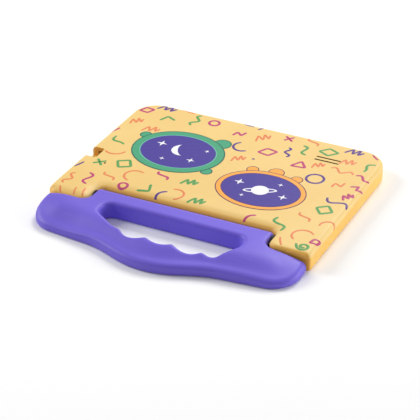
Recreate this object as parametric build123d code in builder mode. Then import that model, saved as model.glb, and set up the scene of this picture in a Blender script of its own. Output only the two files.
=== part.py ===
"""Soft case for a seven inch tablet, with a carry handle that swings back to prop it up.

The case lies on its screen side. +X runs along its long side, +Y from the handle to the far edge
and +Z out of its printed back. The origin is the centre of the overall box, on the surface that
the case lies on. All lengths are in millimetres.
"""

import os

from build123d import *

os.makedirs("parts", exist_ok=True)

# ---------------------------------------------------------------- driving dimensions
# the soft case
case_width = 200.0
overall_depth = 196.0
case_height = 13.5
back_corner_radius = 19.0
side_edge_radius = 3.5
front_edge_radius = 2.2
underside_edge_radius = 1.5
skin_thickness = 0.35
skin_hem_height = 9.8  # the printed skin ends this far above the surface

# the tablet that it holds, and the walls round it
tablet_length = 191.0
tablet_width = 111.0
tablet_corner_radius = 8.0
side_wall = 4.5
back_wall = 2.8
lip_height = 1.4
lip_reach = 3.0

# the notch that the hinge sits in, and the two ears beside it
hinge_y = -37.0
hinge_z = 6.5
notch_half = 68.5
ear_front_y = -50.0
tab_gap = 1.2  # between the handle's tab and the base of the notch
notch_corner_radius = 6.5

# openings in the case
camera_window_depth = 10.2
camera_window_width = 14.3
camera_window_y = 9.5
camera_window_corner = 2.0
camera_sill_height = 6.0
slot_length = 18.7
slot_width = 1.5
slot_pitch = 4.3
slot_centre = (61.5, 71.7)
mic_hole_radius = 0.9
mic_hole_place = (-79.9, -1.8)
port_height = 6.0
round_port_corner = 2.9
charging_port_corner = 2.0
charging_port_width = 13.0
charging_port_y = 44.0
headphone_port_width = 8.0
headphone_port_y = 64.0
button_slot_width = 30.0
button_slot_x = -50.0
port_centre_z = 6.2

# the handle
handle_height = 13.0
handle_end_height = 7.4
handle_fall_angle = 18.0  # the arc of its fall towards each end, run out past the end
handle_half_width = 98.5
handle_end_y = -62.0  # its ends are straight as far forward as this
handle_flat_half = 55.0  # its top is level this far out, then falls towards the ends
handle_end_radius = 20.0
handle_taper_angle = 6.0
handle_swell_half = 50.0  # the middle of the front edge swells out this far each way
shoulder_gap = 1.5
shoulder_corner_radius = 8.0
shoulder_edge_radius = 2.0
handle_front_radius = 4.8
handle_underside_radius = 2.0
tab_half = 66.5

# the finger hole in the handle
hole_half_width = 53.0
hole_far_y = -47.5
hole_side_y = -60.0
hole_near_left = (-36.0, -71.0)
hole_near_right = (42.0, -76.0)
hole_ridge_y = -73.8
hole_far_corner = 6.5
hole_side_corner = 6.0
hole_near_corner = 6.0
finger_centre_x = 2.5
finger_pitch = 19.6
finger_radius = 14.0
finger_depth_y = -78.7
finger_ridge_radius = 3.2
hole_edge_radius = 2.8
hole_underside_radius = 1.5

# the hinge
pin_radius = 2.0
pin_length = 25.0
pin_start_x = 54.5
pin_chamfer = 0.4
pin_running_gap = 0.04
socket_radius = 4.0
socket_length = 13.0
socket_flange_radius = 5.4
socket_flange = 1.0
flange_clearance = 0.2
recess_depth = 3.0  # the notch corners are cut back this far round each flange
washer_radius = 4.8
washer_thickness = 0.7
boss_radius = 4.6
boss_length = 11.0

# the rigid frame inside the handle
core_half = 63.0
core_width = 5.0
core_thickness = 4.0
core_corner_radius = 2.0

# how far a form that cuts, or is cut, runs past what it meets
overcut = 1.0
overrun = 15.0

# ---------------------------------------------------------------- derived places
half_width = case_width / 2
back_y = overall_depth / 2
handle_front_y = -overall_depth / 2
bay_top = case_height - back_wall
bay_centre_y = back_y - side_wall - tablet_width / 2
shoulder_y = ear_front_y - shoulder_gap
tab_end_radius = handle_height - hinge_z
notch_base_y = hinge_y + tab_end_radius + tab_gap


def side_form(inset):
    """The case without its hinge notch: round back corners and a rounded back perimeter."""
    front = ear_front_y - overrun
    with BuildPart() as form:
        with BuildSketch():
            with Locations((0, (back_y - inset + front) / 2)):
                Rectangle(case_width - 2 * inset, back_y - inset - front)
            fillet(vertices().group_by(Axis.Y)[-1], back_corner_radius - inset)
        extrude(amount=case_height - inset)
        top_rim = form.faces().sort_by(Axis.Z)[-1].edges().group_by(Axis.Y)[1:]
        low_rim = form.faces().sort_by(Axis.Z)[0].edges().group_by(Axis.Y)[1:]
        fillet([edge for group in top_rim for edge in group], side_edge_radius - inset)
        fillet([edge for group in low_rim for edge in group], underside_edge_radius)
    return form.part


def front_form(inset):
    """Everything behind the front boundary: two ears, and the notch between them."""
    past_sides = half_width + overrun
    past_back = back_y + overrun
    side_x = notch_half + inset
    ear_y = ear_front_y + inset
    base_y = notch_base_y + inset
    with BuildPart() as form:
        with BuildSketch():
            with BuildLine():
                Polyline(
                    (-past_sides, past_back),
                    (-past_sides, ear_y),
                    (-side_x, ear_y),
                    (-side_x, base_y),
                    (side_x, base_y),
                    (side_x, ear_y),
                    (past_sides, ear_y),
                    (past_sides, past_back),
                    close=True,
                )
            make_face()
            corners = vertices().filter_by(lambda v: abs(v.X) < half_width).group_by(Axis.Y)
            fillet(corners[0], notch_corner_radius - inset)
            corners = vertices().filter_by(lambda v: abs(v.X) < half_width).group_by(Axis.Y)
            fillet(corners[-1], notch_corner_radius + inset)
        extrude(amount=case_height - inset)
        boundary = [
            [
                edge
                for edge in form.faces().sort_by(Axis.Z)[side].edges()
                if abs(edge.center().X) < half_width and edge.center().Y < back_y
            ]
            for side in (-1, 0)
        ]
        fillet(boundary[0], front_edge_radius - inset)
        fillet(boundary[1], underside_edge_radius)
    return form.part


def case_form(inset):
    """The outer form of the case, or the same form a little smaller all round."""
    sides = side_form(inset)
    front = front_form(inset)
    with BuildPart() as form:
        add(sides)
        add(front, mode=Mode.INTERSECT)
    return form.part


def case_openings():
    """The camera window, speaker slots and microphone hole, and the seats of the hinge sockets."""
    window_x = -half_width + camera_window_depth / 2
    with BuildPart() as cuts:
        with BuildSketch(Plane.XY.offset(camera_sill_height)):
            with Locations((window_x - overcut, camera_window_y)):
                RectangleRounded(
                    camera_window_depth + 2 * overcut,
                    camera_window_width,
                    camera_window_corner,
                )
        extrude(amount=case_height)
        with BuildSketch(Plane.XY.offset(bay_top - overcut)):
            with Locations(slot_centre):
                with GridLocations(0, slot_pitch, 1, 2):
                    SlotOverall(slot_length, slot_width)
            with Locations(mic_hole_place):
                Circle(mic_hole_radius)
        extrude(amount=case_height)
        for side in (-1, 1):
            ear_face = Plane((side * notch_half, hinge_y, hinge_z), x_dir=(0, 1, 0), z_dir=(side, 0, 0))
            with BuildSketch(ear_face.offset(-recess_depth)):
                Circle(socket_flange_radius + flange_clearance)
            extrude(amount=recess_depth)
            with BuildSketch(ear_face):
                Circle(socket_radius)
            extrude(amount=socket_length)
    return cuts.part


openings = case_openings()
outer_form = case_form(0)
core_form = case_form(skin_thickness)

# ---------------------------------------------------------------- the printed skin
with BuildPart() as printed_skin:
    add(outer_form)
    add(core_form, mode=Mode.SUBTRACT)
    split(bisect_by=Plane.XY.offset(skin_hem_height), keep=Keep.TOP)
    add(openings, mode=Mode.SUBTRACT)
printed_skin.part.label = "printed_skin"
export_step(printed_skin.part, "parts/printed_skin.step")

# ---------------------------------------------------------------- the moulded case
with BuildPart() as moulded_case:
    add(outer_form)
    add(printed_skin.part, mode=Mode.SUBTRACT)

    # the bay for the tablet, and the screen opening inside its lip
    with BuildSketch(Plane.XY.offset(lip_height)):
        with Locations((0, bay_centre_y)):
            RectangleRounded(tablet_length, tablet_width, tablet_corner_radius)
    extrude(amount=bay_top - lip_height, mode=Mode.SUBTRACT)
    with BuildSketch(Plane.XY.offset(-overcut)):
        with Locations((0, bay_centre_y)):
            RectangleRounded(
                tablet_length - 2 * lip_reach,
                tablet_width - 2 * lip_reach,
                tablet_corner_radius - lip_reach,
            )
    extrude(amount=lip_height + 2 * overcut, mode=Mode.SUBTRACT)
    add(openings, mode=Mode.SUBTRACT)

    # the ports in the short side, and the slot for the buttons in the far side
    port_plane = Plane((-half_width, 0, port_centre_z), x_dir=(0, 1, 0), z_dir=(-1, 0, 0))
    with BuildSketch(port_plane.offset(overcut)):
        with Locations((charging_port_y, 0)):
            RectangleRounded(charging_port_width, port_height, charging_port_corner)
        with Locations((headphone_port_y, 0)):
            RectangleRounded(headphone_port_width, port_height, round_port_corner)
    extrude(amount=-(side_wall + 2 * overcut), mode=Mode.SUBTRACT)
    button_plane = Plane((0, back_y, port_centre_z), x_dir=(1, 0, 0), z_dir=(0, 1, 0))
    with BuildSketch(button_plane.offset(overcut)):
        with Locations((button_slot_x, 0)):
            RectangleRounded(button_slot_width, port_height, round_port_corner)
    extrude(amount=-(side_wall + 2 * overcut), mode=Mode.SUBTRACT)
moulded_case.part.label = "moulded_case"
export_step(moulded_case.part, "parts/moulded_case.step")


# ---------------------------------------------------------------- the handle's forms
def finger_hole():
    """The outline of the hole, with four ridges between the fingers on its near side."""
    first_ridge_x = finger_centre_x - 1.5 * finger_pitch
    last_ridge_x = finger_centre_x + 1.5 * finger_pitch
    with BuildSketch() as frame:
        with BuildLine():
            Polyline(
                (-hole_half_width, hole_far_y),
                (hole_half_width, hole_far_y),
                (hole_half_width, hole_side_y),
                hole_near_right,
                (last_ridge_x, hole_ridge_y),
                (first_ridge_x, hole_ridge_y),
                hole_near_left,
                (-hole_half_width, hole_side_y),
                close=True,
            )
        make_face()
        fillet(vertices().group_by(Axis.Y)[-1], hole_far_corner)
        fillet(vertices().filter_by(lambda v: abs(v.Y - hole_side_y) < 0.01), hole_side_corner)
        near_corners = vertices().filter_by(
            lambda v: v.Y < hole_near_left[1] + 1
            and not first_ridge_x - 1 < v.X < last_ridge_x + 1
        )
        fillet(near_corners, hole_near_corner)
    with BuildSketch() as hole:
        add(frame.sketch)
        with Locations((finger_centre_x, finger_depth_y + finger_radius)):
            with GridLocations(finger_pitch, 0, 3, 1):
                Circle(finger_radius)
        ridges = vertices().filter_by(
            lambda v: abs(v.Y - hole_ridge_y) < 1 and first_ridge_x - 2 < v.X < last_ridge_x + 2
        )
        fillet(ridges, finger_ridge_radius)
    return hole.sketch


def front_outline():
    """The handle's outer form: full at its top, heavily rounded at its front edge."""
    with BuildPart() as form:
        with BuildSketch():
            with BuildLine():
                side = Line((handle_half_width, 0), (handle_half_width, handle_end_y))
                end = JernArc(side @ 1, (0, -1), handle_end_radius, -90 + handle_taper_angle)
                taper_slope = (end % 1).Y / (end % 1).X
                taper_drop = ((end @ 1).X - handle_swell_half) * taper_slope
                taper = Line(end @ 1, (handle_swell_half, (end @ 1).Y - taper_drop))
                Spline(taper @ 1, (0, handle_front_y), tangents=[taper % 1, (-1, 0)])
                Line((0, handle_front_y), (0, 0))
                Line((0, 0), side @ 0)
            make_face()
            mirror(about=Plane.YZ)
        extrude(amount=handle_height)

        # the top falls away towards both ends
        fall_run = handle_half_width - handle_flat_half
        fall = handle_height - handle_end_height
        fall_radius = (fall_run**2 + fall**2) / (2 * fall)
        with BuildSketch(Plane.XZ.offset(-overrun)):
            with BuildLine():
                level = Line((0, handle_height), (handle_flat_half, handle_height))
                slope = JernArc(level @ 1, (1, 0), fall_radius, -handle_fall_angle)
                Polyline(slope @ 1, ((slope @ 1).X, -overcut), (0, -overcut), level @ 0)
            make_face()
            mirror(about=Plane.YZ)
        extrude(amount=overall_depth, mode=Mode.INTERSECT)
        low_rim = form.faces().sort_by(Axis.Z)[0].edges().group_by(Axis.Y)[:-1]
        fillet([edge for group in low_rim for edge in group], handle_underside_radius)
        top_rim = form.edges().filter_by(
            lambda e: e.center().Z > handle_end_height - 0.1
            and e.center().Y < -1
            and abs(abs(e.center().X) - handle_flat_half) > 0.01
        )
        fillet(top_rim, handle_front_radius)
    return form.part


def shoulder_form():
    """The handle's boundary with the case: two shoulders, and the tab between them."""
    past_sides = half_width + overrun
    past_front = handle_front_y - overrun
    with BuildPart() as form:
        with BuildSketch():
            with BuildLine():
                Polyline(
                    (-past_sides, past_front),
                    (-past_sides, shoulder_y),
                    (-tab_half, shoulder_y),
                    (-tab_half, hinge_y),
                    (tab_half, hinge_y),
                    (tab_half, shoulder_y),
                    (past_sides, shoulder_y),
                    (past_sides, past_front),
                    close=True,
                )
            make_face()
            fillet(
                vertices().filter_by(
                    lambda v: abs(v.Y - shoulder_y) < 0.01 and abs(v.X) < half_width
                ),
                shoulder_corner_radius,
            )
        extrude(amount=handle_height)
        rims = [
            edge
            for side in (-1, 0)
            for edge in form.faces().sort_by(Axis.Z)[side].edges()
            if abs(edge.center().X) < half_width + overrun - 1
            and past_front + 1 < edge.center().Y < hinge_y - 0.1
        ]
        fillet(rims, shoulder_edge_radius)
    return form.part


def tab_roll():
    """The tab's far edge: a half round about the hinge axis, with softened ends."""
    section = Plane((-tab_half, hinge_y, hinge_z), x_dir=(0, 1, 0), z_dir=(1, 0, 0))
    with BuildPart() as roll:
        with BuildSketch(section):
            Circle(tab_end_radius)
            Rectangle(
                2 * tab_end_radius,
                2 * tab_end_radius,
                align=(Align.MAX, Align.CENTER),
                mode=Mode.SUBTRACT,
            )
        extrude(amount=2 * tab_half)
        fillet(roll.edges().filter_by(GeomType.CIRCLE), shoulder_edge_radius)
    return roll.part


def core_outline():
    """The rigid frame's plan: a bar along the tab, and a bow through the grip."""
    with BuildSketch() as ring:
        with BuildLine():
            right = [
                (core_half, -34.5),
                (core_half, -46),
                (80, -57),
                (88, -63),
                (85, -74),
                (74, -79),
                (57, -81),
                (38, -84.5),
                (20, -89.5),
                (0, -92.5),
            ]
            left = [(-x, y) for x, y in reversed(right[:-1])]
            Polyline(*right, *left, close=True)
        make_face()
        fillet(vertices(), core_corner_radius)
        offset(amount=-core_width, mode=Mode.SUBTRACT)
    return ring.sketch


core_plan = core_outline()
hole_plan = finger_hole()
grip_front = front_outline()
grip_shoulders = shoulder_form()
tab_edge = tab_roll()

# ---------------------------------------------------------------- the handle
with BuildPart() as handle_core:
    with BuildSketch(Plane.XY.offset(hinge_z - core_thickness / 2)):
        add(core_plan)
    extrude(amount=core_thickness)
    for side in (-1, 1):
        boss = Plane((side * core_half, hinge_y, hinge_z), x_dir=(0, 1, 0), z_dir=(-side, 0, 0))
        with BuildSketch(boss):
            Circle(boss_radius)
        extrude(amount=boss_length)
    for side in (-1, 1):
        bore = Plane((side * pin_start_x, hinge_y, hinge_z), x_dir=(0, 1, 0), z_dir=(side, 0, 0))
        with BuildSketch(bore):
            Circle(pin_radius)
        extrude(amount=pin_length, mode=Mode.SUBTRACT)
handle_core.part.label = "handle_core"
export_step(handle_core.part, "parts/handle_core.step")

with BuildPart() as handle_grip:
    add(grip_front)
    add(grip_shoulders, mode=Mode.INTERSECT)
    add(tab_edge)
    with BuildSketch(Plane.XY.offset(-overcut)):
        add(hole_plan)
    extrude(amount=handle_height + 2 * overcut, mode=Mode.SUBTRACT)
    for side, radius in ((-1, hole_edge_radius), (0, hole_underside_radius)):
        flat_face = handle_grip.faces().sort_by(Axis.Z)[side]
        rim = [
            edge
            for edge in flat_face.edges()
            if abs(edge.center().X) < hole_half_width + 1
            and finger_depth_y - 1 < edge.center().Y < hole_far_y + 1
        ]
        fillet(rim, radius)
    add(handle_core.part, mode=Mode.SUBTRACT)
    for side in (-1, 1):
        bore = Plane((side * pin_start_x, hinge_y, hinge_z), x_dir=(0, 1, 0), z_dir=(side, 0, 0))
        with BuildSketch(bore):
            Circle(pin_radius)
        extrude(amount=pin_length, mode=Mode.SUBTRACT)
handle_grip.part.label = "handle_grip"
export_step(handle_grip.part, "parts/handle_grip.step")

# ---------------------------------------------------------------- the hinge, on both sides
for side, side_name in ((-1, "left"), (1, "right")):
    across = (side, 0, 0)
    pin_plane = Plane((side * pin_start_x, hinge_y, hinge_z), x_dir=(0, 1, 0), z_dir=across)
    with BuildPart() as hinge_pin:
        with BuildSketch(pin_plane):
            Circle(pin_radius)
        extrude(amount=pin_length)
        chamfer(hinge_pin.edges().filter_by(GeomType.CIRCLE), pin_chamfer)
    hinge_pin.part.label = f"hinge_pin_{side_name}"
    export_step(hinge_pin.part, f"parts/hinge_pin_{side_name}.step")

    socket_plane = Plane((side * notch_half, hinge_y, hinge_z), x_dir=(0, 1, 0), z_dir=across)
    with BuildPart() as hinge_socket:
        with BuildSketch(socket_plane):
            Circle(socket_radius)
        extrude(amount=socket_length)
        with BuildSketch(socket_plane):
            Circle(socket_flange_radius)
        extrude(amount=-socket_flange)
        with BuildSketch(socket_plane.offset(-socket_flange)):
            Circle(pin_radius + pin_running_gap)
        extrude(amount=socket_length, mode=Mode.SUBTRACT)
    hinge_socket.part.label = f"hinge_socket_{side_name}"
    export_step(hinge_socket.part, f"parts/hinge_socket_{side_name}.step")

    washer_plane = Plane((side * tab_half, hinge_y, hinge_z), x_dir=(0, 1, 0), z_dir=across)
    with BuildPart() as friction_washer:
        with BuildSketch(washer_plane):
            Circle(washer_radius)
            Circle(pin_radius + pin_running_gap, mode=Mode.SUBTRACT)
        extrude(amount=washer_thickness)
    friction_washer.part.label = f"friction_washer_{side_name}"
    export_step(friction_washer.part, f"parts/friction_washer_{side_name}.step")
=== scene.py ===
import math

import bmesh
import bpy
from mathutils import Matrix, Vector
from mathutils.bvhtree import BVHTree


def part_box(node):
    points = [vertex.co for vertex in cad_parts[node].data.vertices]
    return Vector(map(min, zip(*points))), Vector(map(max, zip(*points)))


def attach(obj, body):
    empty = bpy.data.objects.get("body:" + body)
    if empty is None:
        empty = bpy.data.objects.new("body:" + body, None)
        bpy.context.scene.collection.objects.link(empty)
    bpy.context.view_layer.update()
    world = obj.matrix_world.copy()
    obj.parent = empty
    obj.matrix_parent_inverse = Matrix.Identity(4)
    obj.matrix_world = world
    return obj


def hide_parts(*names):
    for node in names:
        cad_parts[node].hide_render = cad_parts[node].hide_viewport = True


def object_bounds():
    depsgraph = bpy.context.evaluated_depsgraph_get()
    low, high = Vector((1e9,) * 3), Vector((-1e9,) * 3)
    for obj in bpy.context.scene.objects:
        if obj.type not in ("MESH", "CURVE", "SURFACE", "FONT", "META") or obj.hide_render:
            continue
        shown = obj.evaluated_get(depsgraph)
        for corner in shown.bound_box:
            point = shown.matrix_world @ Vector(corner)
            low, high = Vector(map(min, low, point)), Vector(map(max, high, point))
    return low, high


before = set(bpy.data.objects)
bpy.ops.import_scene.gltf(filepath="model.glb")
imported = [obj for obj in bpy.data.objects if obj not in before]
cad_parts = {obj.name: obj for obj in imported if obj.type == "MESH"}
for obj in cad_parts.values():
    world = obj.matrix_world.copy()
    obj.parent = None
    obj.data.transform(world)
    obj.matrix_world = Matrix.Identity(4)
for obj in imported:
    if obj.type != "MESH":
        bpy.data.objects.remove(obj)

mm = 0.001
weld = 0.001 * mm        # points nearer than this count as one
cadLow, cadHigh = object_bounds()
skinLow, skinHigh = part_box("printed_skin")
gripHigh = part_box("handle_grip")[1]
scene = bpy.context.scene
down = Vector((0, 0, -1))


# materials, and the small helpers that build them

def makeMaterial(name, roughness, specular=0.5, sheen=0.0, metallic=0.0):
    material = bpy.data.materials.new(name)
    material.use_nodes = True
    shader = material.node_tree.nodes["Principled BSDF"]
    shader.inputs["Roughness"].default_value = roughness
    shader.inputs["Specular IOR Level"].default_value = specular
    shader.inputs["Sheen Weight"].default_value = sheen
    shader.inputs["Metallic"].default_value = metallic
    return material, shader


def addNode(material, kind, **values):
    node = material.node_tree.nodes.new(kind)
    for name, value in values.items():
        setattr(node, name, value)
    return node


def join(material, start, end):
    material.node_tree.links.new(start, end)


def objectPoint(material, stretch=(1, 1, 1)):
    place = addNode(material, "ShaderNodeTexCoord")
    mapping = addNode(material, "ShaderNodeMapping")
    mapping.inputs["Scale"].default_value = stretch
    join(material, place.outputs["Object"], mapping.inputs["Vector"])
    return mapping.outputs["Vector"]


def noise(material, point, scale, detail=3.0, roughness=0.55):
    node = addNode(material, "ShaderNodeTexNoise")
    node.inputs["Scale"].default_value = scale
    node.inputs["Detail"].default_value = detail
    node.inputs["Roughness"].default_value = roughness
    join(material, point, node.inputs["Vector"])
    return node.outputs["Fac"]


def grey(value):
    return (value,) * 3


def ramp(material, factor, places, colours):
    # runs from the first colour to the second between the two places
    node = addNode(material, "ShaderNodeValToRGB")
    for element, place, colour in zip(node.color_ramp.elements, places, colours):
        element.position = place
        element.color = (*colour, 1)
    join(material, factor, node.inputs["Fac"])
    return node.outputs["Color"]


# where the Mix node keeps its colour sockets
mixSockets = {"factor": 0, "first": 6, "second": 7, "result": 2}


def mixColours(material, factor, first, second):
    node = addNode(material, "ShaderNodeMix", data_type="RGBA")
    join(material, factor, node.inputs[mixSockets["factor"]])
    join(material, first, node.inputs[mixSockets["first"]])
    node.inputs[mixSockets["second"]].default_value = (*second, 1)
    return node.outputs[mixSockets["result"]]


def bump(material, shader, layers):
    normal = None
    for height, strength, distance in layers:
        node = addNode(material, "ShaderNodeBump")
        node.inputs["Strength"].default_value = strength
        node.inputs["Distance"].default_value = distance
        join(material, height, node.inputs["Height"])
        if normal:
            join(material, normal, node.inputs["Normal"])
        normal = node.outputs["Normal"]
    join(material, normal, shader.inputs["Normal"])


# the normal's Y where the painted shade on walls facing the handle starts, and where it is full
handleShadeFacing = {"start": -0.10, "full": -0.85}


def handleSideShade(material):
    # 0 on the flat back, 1 on the walls that look towards the handle: the mask for the painted shade on
    # those walls
    surface = addNode(material, "ShaderNodeNewGeometry")
    parts = addNode(material, "ShaderNodeSeparateXYZ")
    share = addNode(material, "ShaderNodeMapRange", interpolation_type="SMOOTHSTEP")
    join(material, surface.outputs["Normal"], parts.inputs["Vector"])
    join(material, parts.outputs["Y"], share.inputs["Value"])
    share.inputs["From Min"].default_value = handleShadeFacing["start"]
    share.inputs["From Max"].default_value = handleShadeFacing["full"]
    return share.outputs["Result"]


moulding = {
    "cloudDetail": 4, "cloudPlaces": (0.30, 0.72), "grainDetail": 2, "grainHeight": 0.0002,
    "pitShare": 0.31, "pitDetail": 5, "pitRoughness": 0.7, "pitPlaces": (0.35, 0.7), "pitDepth": 0.6,
    "pitHeight": 0.0004, "scuffStretch": (1, 5, 1), "scuffScale": 70, "scuffDetail": 6,
    "scuffRoughness": 0.75, "scuffPlaces": (0.60, 0.78), "glossier": 0.06, "duller": 0.07,
}


def moulded(name, look):
    # soft moulding: fine spark-eroded grain, faint flow clouding, a little rubbed gloss
    material, shader = makeMaterial(name, look["roughness"], look["specular"], look["sheen"])
    point = objectPoint(material)
    clouds = noise(material, point, look["cloudScale"], moulding["cloudDetail"])
    grain = noise(material, point, look["grainScale"], moulding["grainDetail"])
    pitScale = look["grainScale"] * moulding["pitShare"]
    pits = noise(material, point, pitScale, moulding["pitDetail"], moulding["pitRoughness"])
    drawn = objectPoint(material, moulding["scuffStretch"])
    scuffs = noise(
        material, drawn, moulding["scuffScale"], moulding["scuffDetail"], moulding["scuffRoughness"],
    )
    colour = ramp(material, clouds, moulding["cloudPlaces"], (look["dark"], look["light"]))
    rub = ramp(material, scuffs, moulding["scuffPlaces"], (grey(0), grey(1)))
    colour = mixColours(material, rub, colour, look["rubbed"])
    # painted shade: walls that look towards the handle are mixed towards a darker, deeper colour, standing
    # in for the shade that falls on them
    if "edge" in look:
        colour = mixColours(material, handleSideShade(material), colour, look["edge"])
    join(material, colour, shader.inputs["Base Color"])
    low = look["roughness"] - moulding["glossier"]
    high = look["roughness"] + moulding["duller"]
    gloss = ramp(material, pits, moulding["pitPlaces"], (grey(high), grey(low)))
    join(material, gloss, shader.inputs["Roughness"])
    grainLayer = (grain, look["grainDepth"], moulding["grainHeight"])
    pitLayer = (pits, look["grainDepth"] * moulding["pitDepth"], moulding["pitHeight"])
    bump(material, shader, (grainLayer, pitLayer))
    return material


caseLook = {
    "dark": (0.91, 0.51, 0.085), "light": (0.96, 0.58, 0.115), "rubbed": (0.97, 0.64, 0.20),
    # edge: the painted shade colour for the walls that face the handle
    "edge": (0.78, 0.37, 0.040),
    "roughness": 0.52, "specular": 0.4, "sheen": 0.10,
    "cloudScale": 22, "grainScale": 2600, "grainDepth": 0.10,
}
filmLook = {
    "dark": (0.82, 0.555, 0.180), "light": (0.87, 0.610, 0.222), "rubbed": (0.90, 0.66, 0.28),
    # edge: the painted shade colour for the walls that face the handle
    "edge": (0.92, 0.50, 0.080),
    "roughness": 0.46, "specular": 0.4, "sheen": 0.05,
    "cloudScale": 16, "grainScale": 3100, "grainDepth": 0.06,
}
gripLook = {
    "dark": (0.150, 0.100, 0.63), "light": (0.175, 0.120, 0.72), "rubbed": (0.21, 0.16, 0.76),
    "roughness": 0.44, "specular": 0.36, "sheen": 0.12,
    "cloudScale": 14, "grainScale": 2400, "grainDepth": 0.10,
}
blackLook = {
    "dark": (0.018, 0.018, 0.02), "light": (0.035, 0.035, 0.038), "rubbed": (0.08, 0.08, 0.08),
    "roughness": 0.6, "specular": 0.4, "sheen": 0.0,
    "cloudScale": 60, "grainScale": 2600, "grainDepth": 0.15,
}
# painted shade: a dark brown for the walls inside the speaker slots and the microphone hole, standing in
# for the shade in these narrow hollows
slotShadeLook = {
    "dark": (0.16, 0.060, 0.010), "light": (0.24, 0.095, 0.018), "rubbed": (0.30, 0.13, 0.03),
    "roughness": 0.6, "specular": 0.3, "sheen": 0.0,
    "cloudScale": 60, "grainScale": 2600, "grainDepth": 0.10,
}


steelLook = {
    "roughness": 0.32, "stretch": (60, 1, 1), "scale": 90, "detail": 3, "places": (0.3, 0.7),
    "dark": (0.46, 0.46, 0.47), "light": (0.70, 0.70, 0.71), "dull": 0.42, "bright": 0.26,
    "lineDepth": 0.2, "lineHeight": 0.0001,
}


def turnedSteel(name):
    # fine turning marks round the pin
    material, shader = makeMaterial(name, steelLook["roughness"], metallic=1.0)
    drawn = objectPoint(material, steelLook["stretch"])
    lines = noise(material, drawn, steelLook["scale"], steelLook["detail"])
    colour = ramp(material, lines, steelLook["places"], (steelLook["dark"], steelLook["light"]))
    join(material, colour, shader.inputs["Base Color"])
    gloss = ramp(material, lines, steelLook["places"], (grey(steelLook["dull"]), grey(steelLook["bright"])))
    join(material, gloss, shader.inputs["Roughness"])
    bump(material, shader, ((lines, steelLook["lineDepth"], steelLook["lineHeight"]),))
    return material


inkLook = {
    "roughness": 0.44, "specular": 0.4, "coverScale": 240, "coverDetail": 5, "coverRoughness": 0.65,
    "coverPlaces": (0.35, 0.75), "glossPlaces": (0.3, 0.7), "dull": 0.50, "bright": 0.38,
}


def ink(name, colour, thinning=0.06):
    # printed ink: faintly uneven cover, the film's own grain showing through
    material, shader = makeMaterial(name, inkLook["roughness"], inkLook["specular"])
    point = objectPoint(material)
    cover = noise(material, point, inkLook["coverScale"], inkLook["coverDetail"], inkLook["coverRoughness"])
    grounds = filmLook["light"]
    thin = tuple(channel + (ground - channel) * thinning for channel, ground in zip(colour, grounds))
    tint = ramp(material, cover, inkLook["coverPlaces"], (colour, thin))
    join(material, tint, shader.inputs["Base Color"])
    grain = noise(material, point, filmLook["grainScale"], moulding["grainDetail"])
    gloss = ramp(material, cover, inkLook["glossPlaces"], (grey(inkLook["dull"]), grey(inkLook["bright"])))
    join(material, gloss, shader.inputs["Roughness"])
    bump(material, shader, ((grain, filmLook["grainDepth"], moulding["grainHeight"]),))
    return material


caseRubber = moulded("caseRubber", caseLook)
printedFilm = moulded("printedFilm", filmLook)
gripRubber = moulded("gripRubber", gripLook)
blackPlastic = moulded("blackPlastic", blackLook)
slotShadeRubber = moulded("slotShadeRubber", slotShadeLook)
pinSteel = turnedSteel("pinSteel")
finishes = {
    "moulded_case": caseRubber, "printed_skin": printedFilm, "handle_grip": gripRubber,
    "handle_core": blackPlastic, "hinge_socket": blackPlastic, "friction_washer": blackPlastic,
    "hinge_pin": pinSteel,
}
for nodeName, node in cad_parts.items():
    for start, material in finishes.items():
        if nodeName.startswith(start):
            node.data.materials.clear()
            node.data.materials.append(material)
print("materials on", len(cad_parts), "nodes")


# mesh helpers

def copyOfNode(name):
    mesh = bmesh.new()
    mesh.from_mesh(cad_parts[name].data)
    bmesh.ops.remove_doubles(mesh, verts=mesh.verts, dist=weld)
    return mesh


def makePiece(name, mesh, material, body, sharpAngle=35):
    for face in mesh.faces:
        face.smooth = True
    for edge in mesh.edges:
        edge.smooth = edge.calc_face_angle(math.pi) < math.radians(sharpAngle)
    data = bpy.data.meshes.new(name)
    mesh.to_mesh(data)
    mesh.free()
    data.materials.append(material)
    piece = bpy.data.objects.new(name, data)
    scene.collection.objects.link(piece)
    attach(piece, body)
    return piece


def evaluated(piece):
    mesh = bmesh.new()
    graph = bpy.context.evaluated_depsgraph_get()
    finished = bpy.data.meshes.new_from_object(piece.evaluated_get(graph))
    mesh.from_mesh(finished)
    bpy.data.meshes.remove(finished)
    return mesh


def onlyVerts(parts):
    return [part for part in parts if isinstance(part, bmesh.types.BMVert)]


def standUp(mesh, height):
    # the mesh's lines become a wall
    risen = bmesh.ops.extrude_edge_only(mesh, edges=mesh.edges)["geom"]
    bmesh.ops.translate(mesh, verts=onlyVerts(risen), vec=(0, 0, height))


def smoothStep(low, high, value):
    share = min(max((value - low) / (high - low), 0), 1)
    return share * share * (3 - 2 * share)


# the case falls away softly towards the handle, most of all on its left ear

socketFlange = 1 * mm
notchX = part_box("hinge_socket_right")[0].x + socketFlange
earY = skinLow.y
slope = {
    "margin": 1 * mm, "wallHeight": 1, "wallPast": 30 * mm, "cornerSegments": 8,
    "tabGap": 1.2 * mm, "corner": 6.5 * mm, "rootHeight": 5 * mm, "step": 0.8 * mm, "stepX": 4 * mm,
    "notch": {"run": 7.5 * mm, "drop": 2.3 * mm}, "leftEar": {"run": 8 * mm, "drop": 3.0 * mm},
    "rightEar": {"run": 4 * mm, "drop": 0.6 * mm}, "blend": 7 * mm,
    "leftRound": 6.5 * mm, "rightRound": 2.2 * mm,
}
notchBase = gripHigh.y + slope["tabGap"]
slopeEnd = notchBase + slope["leftEar"]["run"]


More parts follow.
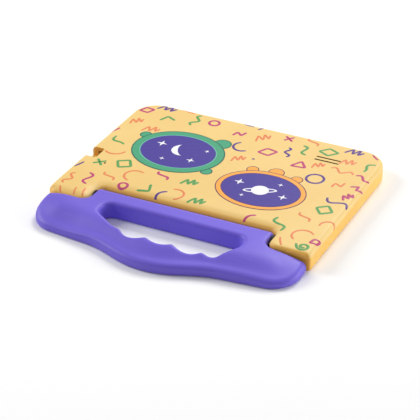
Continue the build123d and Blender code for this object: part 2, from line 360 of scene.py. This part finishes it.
def frontBoundary():
    # the line that the case ends at, stood up as a wall to measure from
    wall = bmesh.new()
    far = cadHigh.x + slope["wallPast"]
    places = [
        (-far, earY), (-notchX, earY), (-notchX, notchBase),
        (notchX, notchBase), (notchX, earY), (far, earY),
    ]
    verts = [wall.verts.new((x, y, 0)) for x, y in places]
    for first, second in zip(verts, verts[1:]):
        wall.edges.new((first, second))
    bmesh.ops.bevel(
        wall, geom=verts[1:-1], offset=slope["corner"], offset_type="OFFSET",
        segments=slope["cornerSegments"], profile=0.5, affect="VERTICES", material=-1,
    )
    standUp(wall, slope["wallHeight"])
    for vert in wall.verts:
        vert.co.z -= slope["wallHeight"] / 2
    tree = BVHTree.FromBMesh(wall)
    wall.free()
    return tree


boundary = frontBoundary()


def slopeDrop(point):
    height = (point.z - slope["rootHeight"]) / (skinHigh.z - slope["rootHeight"])
    if height <= 0 or point.y > slopeEnd:
        return 0
    away = boundary.find_nearest(Vector((point.x, point.y, 0)))[3]
    intoEar = smoothStep(notchX - slope["blend"] / 2, notchX + slope["blend"] / 2, abs(point.x))
    notch, ear = slope["notch"], slope["rightEar" if point.x > 0 else "leftEar"]
    run = notch["run"] + (ear["run"] - notch["run"]) * intoEar
    drop = notch["drop"] + (ear["drop"] - notch["drop"]) * intoEar
    return drop * max(1 - away / run, 0) ** 2 * height


def roundedEar(point):
    # the square outer corner of an ear, in plan, becomes a quarter round
    radius = slope["rightRound" if point.x > 0 else "leftRound"]
    across = abs(point.x) - (skinHigh.x - radius)
    along = (earY + radius) - point.y
    if across <= 0 or along <= 0:
        return point.x, point.y
    share = max(across, along) / math.hypot(across, along)
    x = math.copysign(skinHigh.x - radius + across * share, point.x)
    return x, earY + radius - along * share


def isNear(face, lastY):
    # a face that reaches the front, or one that lies in the top
    if any(vert.co.y < lastY + slope["margin"] for vert in face.verts):
        return True
    return all(vert.co.z > skinHigh.z - slope["margin"] for vert in face.verts)


def cutAcross(mesh, place, normal, lastY):
    near = [face for face in mesh.faces if isNear(face, lastY)]
    edges = list({edge for face in near for edge in face.edges})
    verts = list({vert for face in near for vert in face.verts})
    bmesh.ops.bisect_plane(mesh, geom=near + edges + verts, dist=weld, plane_co=place, plane_no=normal)


# the walls inside the speaker slots and the microphone hole are painted dark: painted shade for the shade
# inside these narrow hollows
# each place: its centre's x and y, and half its width and depth
shadedHollows = {
    "bayTop": 10.7 * mm, "upright": 0.5, "places": ((61.5, 71.7, 9.8, 3.4), (-79.9, -1.8, 1.3, 1.3)),
}


def isShadedHollow(face):
    place = face.calc_center_median()
    if abs(face.normal.z) > shadedHollows["upright"] or place.z < shadedHollows["bayTop"]:
        return False
    return any(
        abs(place.x - x * mm) < halfX * mm and abs(place.y - y * mm) < halfY * mm
        for x, y, halfX, halfY in shadedHollows["places"]
    )


def makeSloped(node, name, material):
    mesh = copyOfNode(node)
    place = earY + slope["step"]
    while place < slopeEnd + slope["step"]:
        cutAcross(mesh, (0, place, 0), (0, 1, 0), slopeEnd)
        place += slope["step"]
    steps = int(skinHigh.x / slope["stepX"])
    for step in range(-steps, steps + 1):
        cutAcross(mesh, (step * slope["stepX"], 0, 0), (1, 0, 0), slopeEnd)
    # closer cuts at the ears' round corners, and one at the side of the notch
    steps = round(slope["leftRound"] / slope["step"])
    corner = [skinHigh.x - step * slope["step"] for step in range(1, steps + 1)]
    for place in [-x for x in reversed(corner)] + [notchX] + corner:
        cutAcross(mesh, (place, 0, 0), (1, 0, 0), earY + slope["leftRound"])
    for vert in mesh.verts:
        vert.co.z -= slopeDrop(vert.co)
        vert.co.x, vert.co.y = roundedEar(vert.co)
    for face in mesh.faces:
        # faces inside the slots and the microphone hole take the painted-shade material
        face.material_index = int(isShadedHollow(face))
    piece = makePiece(name, mesh, material, "case")
    piece.data.materials.append(slotShadeRubber)
    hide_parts(node)
    print(name, len(piece.data.polygons), "faces")
    return piece


skinPiece = makeSloped("printed_skin", "printedSkin", printedFilm)
makeSloped("moulded_case", "caseBody", caseRubber)


# the handle's soft grip, and the frame inside it

grip = {
    "voxel": 0.65 * mm, "rounds": 6, "coreGap": 0.08 * mm, "coreStep": 6 * mm,
    "lineHeight": 3 * mm, "lineStart": -56 * mm, "holeHalf": 57 * mm, "holeNear": -82 * mm,
    "edge": 4 * mm, "run": 20 * mm, "outRun": 29 * mm, "outStart": 40 * mm, "outEnd": 75 * mm,
    "fall": 0.38, "leftFall": 0.54, "rightFall": 0.40, "foreStart": 54 * mm, "foreEnd": 82 * mm,
    "liftStart": 60 * mm, "liftEnd": 98 * mm, "lift": 0.40, "smoothing": 0.5, "sharpAngle": 60,
}


def frontLine(mesh):
    # the handle's outer edge in plan, stood up as a wall to measure from
    line = mesh.copy()
    geometry = line.verts[:] + line.edges[:] + line.faces[:]
    bmesh.ops.bisect_plane(
        line, geom=geometry, dist=weld, plane_co=(0, 0, grip["lineHeight"]), plane_no=(0, 0, 1),
        clear_inner=True, clear_outer=True,
    )
    # the tab's side and the finger hole's edge are left out
    inner = [
        vert for vert in line.verts
        if vert.co.y > grip["lineStart"]
        or (abs(vert.co.x) < grip["holeHalf"] and vert.co.y > grip["holeNear"])
    ]
    bmesh.ops.delete(line, geom=inner, context="VERTS")
    standUp(line, gripHigh.z)
    tree = BVHTree.FromBMesh(line)
    line.free()
    return tree


def lower(mesh, line):
    # the grip thins towards its front edge, and its left end stands a little higher
    for vert in mesh.verts:
        away = line.find_nearest(Vector((vert.co.x, vert.co.y, grip["lineHeight"])))[3]
        out = smoothStep(grip["outStart"], grip["outEnd"], abs(vert.co.x))
        run = grip["run"] + (grip["outRun"] - grip["run"]) * out
        near = 1 - smoothStep(grip["edge"], run, away)
        sideFall = grip["rightFall" if vert.co.x > 0 else "leftFall"]
        fall = grip["fall"] + (sideFall - grip["fall"]) * out
        fall *= smoothStep(grip["foreStart"], grip["foreEnd"], -vert.co.y)
        end = smoothStep(grip["liftStart"], grip["liftEnd"], -vert.co.x)
        vert.co.z *= (1 - fall * near) * (1 + grip["lift"] * end)


def makeGrip():
    mesh = copyOfNode("handle_grip")
    core = copyOfNode("handle_core")
    coreTree = BVHTree.FromBMesh(core)
    cavity = [
        face for face in mesh.faces
        if coreTree.find_nearest(face.calc_center_median())[3] < grip["coreGap"]
    ]
    bmesh.ops.delete(mesh, geom=cavity, context="FACES")
    bmesh.ops.holes_fill(mesh, edges=[edge for edge in mesh.edges if edge.is_boundary], sides=0)
    rough = makePiece("roughGrip", mesh, gripRubber, "handle")
    remesh = rough.modifiers.new("remesh", "REMESH")
    remesh.mode = "VOXEL"
    remesh.voxel_size = grip["voxel"]
    mesh = evaluated(rough)
    bpy.data.objects.remove(rough)
    for turn in range(grip["rounds"]):
        bmesh.ops.smooth_vert(
            mesh, verts=mesh.verts, factor=grip["smoothing"],
            use_axis_x=True, use_axis_y=True, use_axis_z=True,
        )
    line = frontLine(mesh)
    lower(mesh, line)
    piece = makePiece("handleGrip", mesh, gripRubber, "handle", grip["sharpAngle"])
    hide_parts("handle_grip")
    print("handleGrip", len(piece.data.polygons), "faces")

    # the rigid frame bends down with the grip that it lies in
    steps = int(gripHigh.x / grip["coreStep"])
    for step in range(-steps, steps + 1):
        bmesh.ops.bisect_plane(
            core, geom=core.verts[:] + core.edges[:] + core.faces[:], dist=weld,
            plane_co=(step * grip["coreStep"], 0, 0), plane_no=(1, 0, 0),
        )
    lower(core, line)
    corePiece = makePiece("handleFrame", core, blackPlastic, "handle")
    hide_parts("handle_core")
    print("handleFrame", len(corePiece.data.polygons), "faces")


makeGrip()


# printed marks: brush strokes laid on the film

paint = {
    "height": 0.11 * mm, "sink": 0.05 * mm, "softCorner": 0.16, "endWidth": 0.72, "step": 0.2,
    "edgeRadius": 3.5 * mm, "cornerRadius": 19 * mm, "wrap": 5.5 * mm, "tabMargin": 0.8 * mm,
    "above": 1 * mm, "weld": 0.002 * mm, "order": 3, "resolution": 3,
}
flatX = skinHigh.x - paint["edgeRadius"]
flatY = skinHigh.y - paint["edgeRadius"]
flatCorner = paint["cornerRadius"] - paint["edgeRadius"]
skinMesh = bmesh.new()
skinMesh.from_mesh(skinPiece.data)
skinTree = BVHTree.FromBMesh(skinMesh)
skinMesh.free()


def onFilm(x, y, height):
    # a point of the flat print, laid on the top or round the rounded rim
    side, back = abs(x) - flatX, y - flatY
    outward = Vector((math.copysign(1, x), 0, 0))
    base = Vector((math.copysign(flatX, x), y, 0))
    past = side
    if side > -flatCorner and back > -flatCorner:
        corner = Vector((side + flatCorner, back + flatCorner, 0))
        past = corner.length - flatCorner
        turned = corner.normalized()
        outward = Vector((math.copysign(turned.x, x), turned.y, 0))
        base = Vector((math.copysign(flatX - flatCorner, x), flatY - flatCorner, 0)) + outward * flatCorner
    elif back > side:
        past, outward, base = back, Vector((0, 1, 0)), Vector((x, flatY, 0))
    if past <= 0:
        place, normal = skinTree.ray_cast(Vector((x, y, skinHigh.z + paint["above"])), down)[:2]
        return place + normal * height
    angle = min(past / paint["edgeRadius"], math.pi / 2)
    below = max(past - paint["edgeRadius"] * math.pi / 2, 0)
    reach = paint["edgeRadius"] + height
    point = base + outward * reach * math.sin(angle)
    point.z = skinHigh.z - paint["edgeRadius"] + reach * math.cos(angle) - below
    return point


def arcPath(start, sweep, steps=10, endRadius=1.0):
    points = []
    for step in range(steps + 1):
        share = step / steps
        angle = math.radians(start + sweep * share)
        radius = 1 + (endRadius - 1) * share
        points.append((radius * math.cos(angle), radius * math.sin(angle)))
    return points


def wavePath(periods, swing, steps=14):
    return [
        (-1 + 2 * step / steps, swing * math.sin(2 * math.pi * periods * step / steps))
        for step in range(steps + 1)
    ]


# each shape: its paths, about two units wide, whether they are soft, and whether they are closed
shapes = {
    "zig": ([[(-1, -0.6), (-0.35, 0.6), (-0.1, -0.5), (0.45, 0.7), (0.55, -0.45), (1, 0.3)]], False, False),
    "bolt": ([[(-1, 0.45), (0.2, 0.55), (-0.2, -0.55), (1, -0.45)]], False, False),
    "wave": ([wavePath(1.5, 0.28)], True, False),
    "curl": ([wavePath(1.0, 0.38)], True, False),
    "sway": ([wavePath(1.0, -0.38)], True, False),
    "arc": ([arcPath(20, 200)], True, False),
    "bow": ([arcPath(30, 120)], True, False),
    "hook": ([[(-0.7, 0.9), (-0.95, 0.1), (-0.5, -0.35), (0.5, -0.45), (0.85, -0.9)]], True, False),
    "step": ([[(-1, 0.5), (-0.8, 0.0), (0.75, 0.05), (0.95, -0.5)]], False, False),
    "chevron": ([[(-0.8, -0.7), (-0.3, 0.6), (0.9, 0.0)]], False, False),
    "square": ([[(-0.8, -0.7), (0.7, -0.8), (0.8, 0.7), (-0.7, 0.8)]], False, True),
    "diamond": ([[(-1, 0), (0, -0.75), (1, 0), (0, 0.75)]], False, True),
    "triangle": ([[(-0.9, -0.6), (0.9, -0.55), (0.05, 0.8)]], False, True),
    "ring": ([arcPath(0, 330, 11)], True, True),
    "cross": ([[(-0.8, -0.6), (0.8, 0.6)], [(-0.6, 0.8), (0.6, -0.8)]], False, False),
    "dash": ([[(-1, 0.1), (0, -0.08), (1, 0.06)]], True, False),
    "dot": ([[(-0.35, 0), (0.35, 0)]], False, False),
    "spiral": ([[(-1.3, 0.4), (-1.0, -0.2)] + arcPath(215, 480, 14, 0.25)], True, False),
}


def softened(points, closed):
    # a corner becomes three points, so that the stroke keeps its width round it
    corners = []
    count = len(points)
    for index, point in enumerate(points):
        here = Vector(point)
        if not closed and index in (0, count - 1):
            corners.append(here)
            continue
        before, after = Vector(points[index - 1]), Vector(points[(index + 1) % count])
        first = here + (before - here).normalized() * paint["softCorner"]
        last = here + (after - here).normalized() * paint["softCorner"]
        corners += [first, (first + last + 2 * here) / 4, last]
    if closed:
        corners.append(corners[0])
    result = [corners[0]]
    for before, after in zip(corners, corners[1:]):
        steps = max(round((after - before).length / paint["step"]), 1)
        result += [before.lerp(after, step / steps) for step in range(1, steps + 1)]
    return result[:-1] if closed else result


def addStroke(curve, points, soft, closed, place, width):
    points = [Vector(point) for point in points] if soft else softened(points, closed)
    spline = curve.splines.new("NURBS" if soft else "POLY")
    spline.points.add(len(points) - 1)
    for index, (target, point) in enumerate(zip(spline.points, points)):
        spot = place @ Vector((point.x, point.y, 0))
        target.co = (*spot, 1)
        end = not closed and index in (0, len(points) - 1)
        target.radius = width * (paint["endWidth"] if end else 1)
    spline.use_cyclic_u = closed
    if soft:
        spline.order_u = paint["order"]
        spline.use_endpoint_u = not closed
        spline.resolution_u = paint["resolution"]


# each mark: its shape, its centre's x and y, its turn in degrees, and half its width
inks = {
    "Green": {"colour": (0.090, 0.330, 0.085), "width": 2.1 * mm, "marks": (
        ("chevron", -70, 78, 0, 6), ("wave", -50, 85, 86, 8.5), ("hook", -87, 33, 10, 6),
        ("square", -67, 3.4, 35, 6), ("chevron", -37, -21.5, 220, 6.5), ("zig", -13, 0, 10, 6),
        ("zig", 3, -21, 5, 6), ("curl", 41, 78, -60, 7), ("diamond", 58, 83, 12, 7),
        ("hook", 93, 74, -60, 5.5), ("square", 86.4, 6.4, 42, 5.8), ("sway", 66, -23.5, -62, 8.5),
        ("spiral", 92, -43, 0, 4.5), ("cross", -84, -2, 5, 5),
    )},
    "Magenta": {"colour": (0.500, 0.040, 0.170), "width": 2.0 * mm, "marks": (
        ("ring", -36, 87, 0, 4), ("step", -34, 0, -12, 6), ("ring", -53, -24, 0, 3.3),
        ("bolt", -12, 80, 70, 5), ("cross", 24, 89, 15, 4.5), ("diamond", 18, 64, 25, 7),
        ("dash", 91, 90, -40, 4), ("triangle", 46, 57, 5, 6), ("curl", 94, 58, -15, 6),
        ("bolt", 96, 43, 20, 5), ("zig", 94, 29.5, 48, 5), ("bow", 49.5, -27.5, 75, 7.5),
        ("diamond", -91, 84, 30, 5.5), ("dash", -97, 46, 70, 4), ("curl", -80, -26, -70, 8),
        ("diamond", 97, -34, 40, 4),
    )},
    "Purple": {"colour": (0.085, 0.030, 0.240), "width": 1.9 * mm, "marks": (
        ("bow", -18.5, -25.5, 80, 7.5), ("arc", -2, 63, 100, 6.5), ("dot", 13, 50, 0, 3),
        ("wave", 31, 70, -75, 7), ("zig", 75, 91, -5, 6.5), ("ring", 64, 43, 0, 6.5),
        ("sway", 90.5, 18.8, -25, 9.5), ("zig", -78, 93, -5, 7), ("dash", -11, 95, -5, 4),
        ("dash", -1, 94, 60, 2.5), ("dash", -95.5, -11, 70, 4.5),
    )},
    "Salmon": {"colour": (0.780, 0.220, 0.080), "width": 1.7 * mm, "marks": (
        ("zig", -90, 65, 35, 5.5), ("zig", -74, 58, 10, 6.5), ("zig", 6, 82, 40, 6.5),
        ("zig", 3, 46, 30, 5.5), ("zig", 58.5, 62, 30, 5), ("zig", 76, 75, 10, 6),
        ("bolt", 82, 42, 78, 5.2), ("bow", -83, 21, 200, 8.5), ("step", -68, -17, -10, 6),
        ("arc", -52, -9, 40, 7.5), ("arc", -15, -19, -95, 6.5), ("dash", -62, 95, -10, 6),
        ("step", 42, 92, -15, 6), ("wave", 77, 61, -8, 9), ("step", 78, -8, -15, 6),
        ("arc", 97, -12.5, -25, 6), ("arc", 86.5, -31, 18, 7.5), ("wave", -92, -31, 86, 8),
        ("dash", -80, -45, -75, 4.5), ("dash", -74, -43, -75, 4.5), ("dash", -91, -46, -60, 3),
        ("dash", 76, -44, -60, 6),
    )},
}


def clip(mesh, verts, place, normal):
    geometry = list(verts)
    geometry += list({edge for vert in verts for edge in vert.link_edges})
    geometry += list({face for vert in verts for face in vert.link_faces})
    bmesh.ops.bisect_plane(
        mesh, geom=geometry, dist=weld, plane_co=place, plane_no=normal, clear_outer=True,
    )
    bmesh.ops.holes_fill(mesh, edges=[edge for edge in mesh.edges if edge.is_boundary], sides=0)


def makeMarks(colourName, look):
    curve = bpy.data.curves.new("marks" + colourName, "CURVE")
    curve.dimensions = "3D"
    curve.twist_mode = "Z_UP"
    curve.fill_mode = "FULL"
    curve.bevel_depth = 1
    curve.bevel_resolution = 1
    curve.use_fill_caps = True
    for kind, x, y, turn, size in look["marks"]:
        paths, soft, closed = shapes[kind]
        place = Matrix.Translation((x * mm, y * mm, 0)) @ Matrix.Rotation(math.radians(turn), 4, "Z")
        place = place @ Matrix.Scale(size * mm, 4)
        for points in paths:
            addStroke(curve, points, soft, closed, place, look["width"] / 2)
    holder = bpy.data.objects.new("strokes", curve)
    scene.collection.objects.link(holder)
    mesh = evaluated(holder)
    bpy.data.objects.remove(holder)
    bmesh.ops.remove_doubles(mesh, verts=mesh.verts, dist=paint["weld"])
    for vert in mesh.verts:
        vert.co.z *= 2 * paint["height"] / look["width"]
    nearTab = [vert for vert in mesh.verts if abs(vert.co.x) < notchX and vert.co.y < slopeEnd]
    clip(mesh, nearTab, (0, notchBase + paint["tabMargin"], 0), (0, -1, 0))
    clip(mesh, list(mesh.verts), (flatX + paint["wrap"], 0, 0), (1, 0, 0))
    clip(mesh, list(mesh.verts), (-flatX - paint["wrap"], 0, 0), (-1, 0, 0))
    clip(mesh, list(mesh.verts), (0, flatY + paint["wrap"], 0), (0, 1, 0))
    for vert in mesh.verts:
        vert.co = onFilm(vert.co.x, vert.co.y, max(vert.co.z, -paint["sink"]))
    bmesh.ops.recalc_face_normals(mesh, faces=mesh.faces)
    material = ink("ink" + colourName, look["colour"])
    piece = makePiece("confetti" + colourName, mesh, material, "case")
    print(piece.name, len(look["marks"]), "marks", len(piece.data.polygons), "faces")


for colourName, look in inks.items():
    makeMarks(colourName, look)


# two round printed badges: a moon and a ringed planet, each seen through a round rim

badgeInks = {
    "indigo": ink("inkIndigo", (0.055, 0.034, 0.300), 0.012),
    "rimGreen": ink("inkRimGreen", (0.050, 0.360, 0.190), 0.03),
    "darkGreen": ink("inkDarkGreen", (0.012, 0.130, 0.095), 0.02),
    "paleGreen": ink("inkPaleGreen", (0.150, 0.500, 0.380), 0.03),
    "rimOrange": ink("inkRimOrange", (0.950, 0.400, 0.060), 0.05),
    "plum": ink("inkPlum", (0.110, 0.025, 0.100), 0.02),
    "white": ink("inkWhite", (0.90, 0.90, 0.93), 0.02),
}
# stars and moons: x and y from the badge's centre, and size
# emblem: ink, level, outline, x and y from the centre, two radii, and turn in degrees
badges = {
    "moonBadge": {
        "centre": (-40.5, 36), "radii": (35, 30),
        "line": "darkGreen", "rim": "rimGreen", "inner": "paleGreen",
        "lineWidth": 0.9, "rimWidth": 5.0, "innerWidth": 0.8,
        "stars": ((-16, 6, 4.2), (14, -8, 3.4), (-6, -14, 2.2), (19, 9, 2.2)),
        "moons": ((24, 24, 7.0), (-33, 13, 4.6), (31, -17, 4.6)),
        "emblem": (("white", 7, "crescent", 2, 3, 8, 8, 25),),
    },
    "planetBadge": {
        "centre": (36, 12), "radii": (33, 26), "line": "plum", "rim": "rimOrange", "inner": "plum",
        "lineWidth": 0.7, "rimWidth": 3.2, "innerWidth": 0.5,
        "stars": ((-18, 4, 4.0), (18, -3, 3.6), (-9, -12, 2.0), (10, 12, 2.2)),
        "moons": ((0, 27, 6.0), (-17, 24, 4.6), (17, 24, 4.6)),
        "emblem": (
            ("white", 7, "disc", 0, -1, 12, 3.2, 22), ("indigo", 8, "disc", 0, -1, 10.4, 1.9, 22),
            ("white", 9, "disc", 0, -1, 6.2, 6.2, 0),
        ),
    },
}
patch = {
    "inkStep": 0.035 * mm, "discSides": 72, "crescentSides": 48, "crescentHollow": -0.42,
    "starReaches": (1, 0.42, 0.27, 0.42), "starPoints": 4, "firstLevel": 3, "starLevel": 7,
}


def addPatch(meshes, colour, level, place, outline):
    # a flat printed patch: the outline filled, raised one ink step for each level
    mesh = meshes.setdefault(colour, bmesh.new())
    reaches = patch["starReaches"]
    sides = {
        "disc": patch["discSides"], "crescent": patch["crescentSides"],
        "star": patch["starPoints"] * len(reaches),
    }
    verts = bmesh.ops.create_circle(mesh, cap_ends=True, segments=sides[outline], radius=1)["verts"]
    for index, vert in enumerate(verts):
        if outline == "star":
            vert.co *= reaches[index % len(reaches)]
        elif outline == "crescent" and vert.co.x > 0:
            vert.co.x *= patch["crescentHollow"]
    face = verts[0].link_faces[0]
    if face.normal.z > 0:
        face.normal_flip()
    raised = bmesh.ops.extrude_face_region(mesh, geom=[face])["geom"]
    top = onlyVerts(raised)
    bmesh.ops.translate(mesh, verts=verts, vec=(0, 0, -paint["sink"]))
    bmesh.ops.translate(mesh, verts=top, vec=(0, 0, patch["inkStep"] * level))
    for vert in verts + top:
        spot = place @ Vector((vert.co.x, vert.co.y, 0))
        vert.co.x, vert.co.y = spot.x, spot.y
        vert.co.z += skinHigh.z


def flatPlace(x, y, radiusX, radiusY, turn=0):
    place = Matrix.Translation((x * mm, y * mm, 0)) @ Matrix.Rotation(math.radians(turn), 4, "Z")
    return place @ Matrix.Diagonal((radiusX * mm, radiusY * mm, 1, 1))


def makeBadge(name, badge):
    meshes = {}
    x, y = badge["centre"]
    radiusX, radiusY = badge["radii"]
    line, rim, inner = badge["lineWidth"], badge["rimWidth"], badge["innerWidth"]
    for moonX, moonY, size in badge["moons"]:
        addPatch(meshes, badge["line"], 1, flatPlace(x + moonX, y + moonY, size, size), "disc")
        addPatch(meshes, badge["rim"], 2, flatPlace(x + moonX, y + moonY, size - line, size - line), "disc")
    layers = (
        (badge["line"], 0), (badge["rim"], line),
        (badge["inner"], line + rim), ("indigo", line + rim + inner),
    )
    for level, (colour, inset) in enumerate(layers, patch["firstLevel"]):
        addPatch(meshes, colour, level, flatPlace(x, y, radiusX - inset, radiusY - inset), "disc")
    for starX, starY, size in badge["stars"]:
        addPatch(meshes, "white", patch["starLevel"], flatPlace(x + starX, y + starY, size, size), "star")
    for colour, level, outline, outX, outY, halfX, halfY, turn in badge["emblem"]:
        addPatch(meshes, colour, level, flatPlace(x + outX, y + outY, halfX, halfY, turn), outline)
    for colour, mesh in meshes.items():
        bmesh.ops.recalc_face_normals(mesh, faces=mesh.faces)
        makePiece(name + colour[0].upper() + colour[1:], mesh, badgeInks[colour], "case")
    print(name, len(meshes), "inks")


for name, badge in badges.items():
    makeBadge(name, badge)


# camera, floor and light

view = {
    "azimuth": 26.04, "elevation": 30.85, "distance": 1.154,
    "target": (12.06, -18.93, 7.62), "lens": 143.83, "clipStart": 0.05,
}
azimuth = math.radians(view["azimuth"])
elevation = math.radians(view["elevation"])
backward = Vector((
    math.sin(azimuth) * math.cos(elevation),
    -math.cos(azimuth) * math.cos(elevation),
    math.sin(elevation),
))
camera = bpy.data.objects.new("camera", bpy.data.cameras.new("camera"))
camera.data.lens = view["lens"]
camera.data.clip_start = view["clipStart"]
camera.location = Vector(view["target"]) * mm + backward * view["distance"]
camera.rotation_euler = backward.to_track_quat("Z", "Y").to_euler()
scene.collection.objects.link(camera)
scene.camera = camera

ground = {"size": 6, "roughness": 0.9, "specular": 0.2, "shade": 0.97}
floorMesh = bmesh.new()
bmesh.ops.create_grid(floorMesh, x_segments=1, y_segments=1, size=ground["size"])
floorData = bpy.data.meshes.new("floor")
floorMesh.to_mesh(floorData)
floorMesh.free()
floor = bpy.data.objects.new("floor", floorData)
scene.collection.objects.link(floor)
floorMaterial, floorShader = makeMaterial("floorPaper", ground["roughness"], ground["specular"])
floorShader.inputs["Base Color"].default_value = (*grey(ground["shade"]), 1)
floorData.materials.append(floorMaterial)

lights = {
    "keyBox": {"place": (0.05, 1.5, 1.5), "size": 0.9, "power": 24},
    "rightBox": {"place": (1.75, 0.9, 0.5), "size": 1.0, "power": 20},
    "leftBox": {"place": (-1.5, -0.15, 0.95), "size": 0.8, "power": 17},
}
for name, light in lights.items():
    lamp = bpy.data.lights.new(name, "AREA")
    lamp.shape = "SQUARE"
    lamp.size = light["size"]
    lamp.energy = light["power"]
    holder = bpy.data.objects.new(name, lamp)
    holder.location = light["place"]
    holder.rotation_euler = Vector(light["place"]).to_track_quat("Z", "Y").to_euler()
    scene.collection.objects.link(holder)
studio = {"shade": 1, "strength": 0.37}
world = bpy.data.worlds.new("studio")
world.use_nodes = True
backdrop = world.node_tree.nodes["Background"]
backdrop.inputs["Color"].default_value = (*grey(studio["shade"]), 1)
backdrop.inputs["Strength"].default_value = studio["strength"]
scene.world = world
scene.view_settings.view_transform = "Standard"
print("camera and lights")
